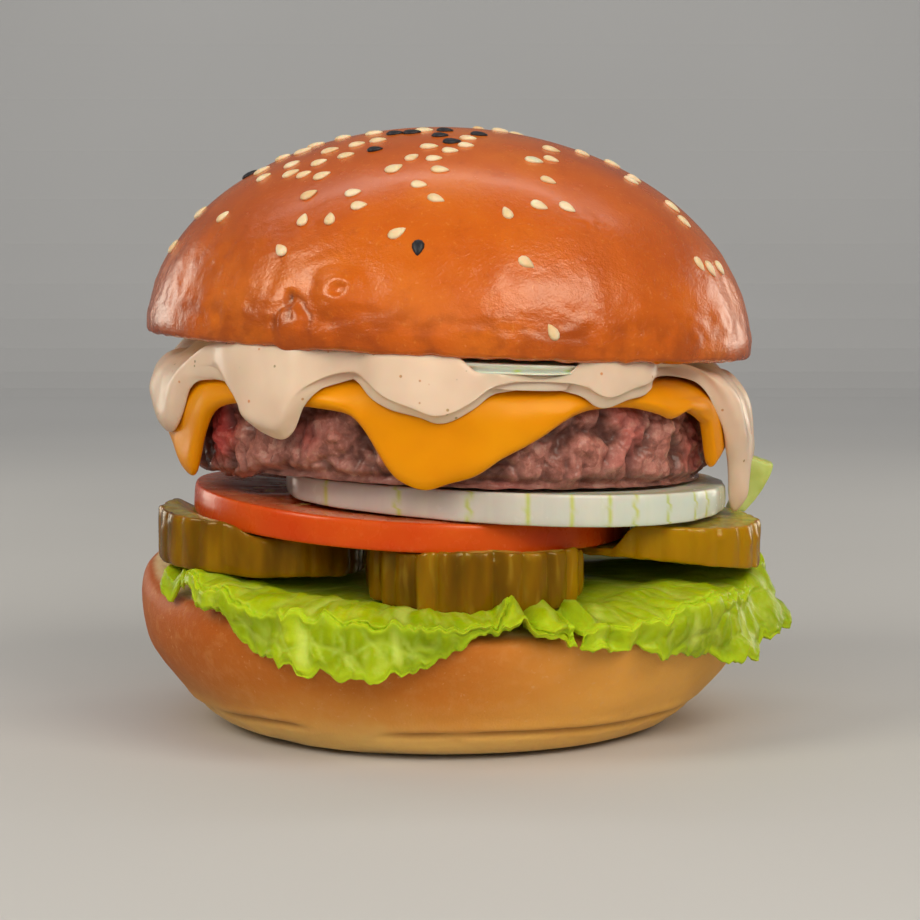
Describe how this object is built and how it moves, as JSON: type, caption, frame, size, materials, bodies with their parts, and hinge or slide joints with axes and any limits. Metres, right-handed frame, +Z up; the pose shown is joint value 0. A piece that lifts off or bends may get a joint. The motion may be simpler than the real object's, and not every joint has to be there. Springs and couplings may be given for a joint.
{
  "type": "stacked burger",
  "caption": "Tall burger on a seeded bun, stacked with lettuce, pickles, tomato, onion, a thick patty, melted cheese and dripping sauce; stands on its heel",
  "frame": {"origin": "centre of the flat foot of the bun heel, on which the burger stands", "axes": "+Z up; -Y is the front, the side with the hanging cheese corner; +X is to the right when seen from the front"},
  "size_m": [0.1166, 0.12, 0.1085],
  "materials": {
    "bun_bottom": "baked crust, tan side and paler foot",
    "lettuce": "waxy fresh leaf",
    "lettuce_rib": "pale moist stalk",
    "pickle": "wet, slightly clear flesh",
    "tomato": "wet skin and flesh",
    "onion": "moist, slightly clear",
    "patty": "grilled coarse meat with greasy glints",
    "cheese": "melted, satin",
    "sauce": "creamy and glossy",
    "bun_top": "egg-washed glossy crust"
  },
  "bodies": {
    "root": {"bun_bottom": "bun_bottom", "lettuce_left": "lettuce", "lettuce_right": "lettuce", "lettuce_back": "lettuce", "lettuce_rib": "lettuce_rib", "pickle_left": "pickle", "pickle_front": "pickle", "pickle_right": "pickle", "pickle_back": "pickle", "tomato": "tomato", "onion": "onion", "patty": "patty", "cheese": "cheese", "sauce": "sauce", "onion_top": "onion", "bun_top": "bun_top"}
  },
  "joints": []
}
